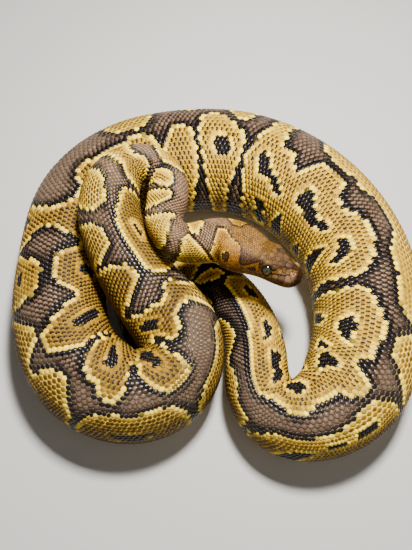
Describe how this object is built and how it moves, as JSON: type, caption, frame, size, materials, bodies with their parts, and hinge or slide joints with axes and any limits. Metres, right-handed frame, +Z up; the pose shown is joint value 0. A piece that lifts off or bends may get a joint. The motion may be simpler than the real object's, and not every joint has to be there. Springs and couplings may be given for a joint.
{
  "type": "coiled ball python",
  "caption": "Life-size coiled ball python at rest: one thick ring of body, folded neck on top, wedge-shaped head over the middle, short tail tucked inside.",
  "frame": {"origin": "middle of the coil's footprint, on the floor it lies on", "axes": "+Z up from the floor; the head points towards +X and a little towards -Y"},
  "size_m": [0.2432, 0.2294, 0.0853],
  "materials": {
    "scaled_skin": "satin overlapping scales, dark brown with golden patches",
    "head_skin": "satin small plates, tan brown with ochre sides",
    "eye": "wet gloss, near black with a dark green-grey iris"
  },
  "bodies": {
    "root": {"head": "head_skin", "lower_jaw": "head_skin", "eye_left": "eye", "eye_right": "eye", "neck_front": "scaled_skin", "neck_loop": "scaled_skin", "trunk_rise": "scaled_skin", "trunk_turn_left_a": "scaled_skin", "trunk_turn_left_b": "scaled_skin", "trunk_left": "scaled_skin", "trunk_back_left": "scaled_skin", "trunk_back": "scaled_skin", "trunk_right": "scaled_skin", "trunk_front_right": "scaled_skin", "trunk_turn_right": "scaled_skin", "trunk_inner": "scaled_skin", "tail_base": "scaled_skin", "tail_tip": "scaled_skin"}
  },
  "joints": []
}
